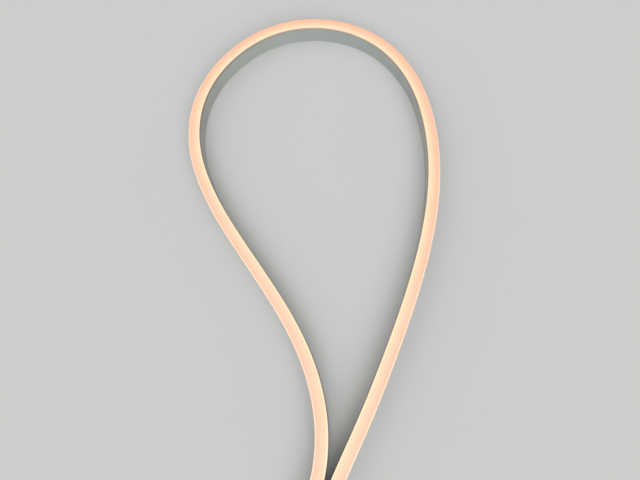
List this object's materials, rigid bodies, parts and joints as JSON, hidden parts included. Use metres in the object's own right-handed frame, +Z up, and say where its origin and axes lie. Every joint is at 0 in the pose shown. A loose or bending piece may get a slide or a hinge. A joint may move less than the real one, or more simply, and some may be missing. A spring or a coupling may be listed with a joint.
{
  "type": "led neon flex",
  "caption": "Silicone neon flex lamp strip: a milky lit face over an opaque grey channel, bent sideways into a loop, with moulded end caps.",
  "frame": {"origin": "middle of the loop's outline in plan, on the floor plane under the channel's base", "axes": "+Z up, out of the lit face; +Y from the two ends to the crown of the loop, the object's longest way; +X to the right seen from above"},
  "size_m": [0.2172, 0.428, 0.018],
  "materials": {
    "grey_silicone": "soft matt light-grey silicone, opaque",
    "milky_silicone": "milky silicone, lit warm peach white from inside",
    "circuit_ribbon": "white-coated flexible circuit"
  },
  "bodies": {
    "root": {"jacket": "grey_silicone", "diffuser": "milky_silicone", "led_strip": "circuit_ribbon", "end_cap": "grey_silicone", "lead_cap": "grey_silicone"}
  },
  "joints": []
}
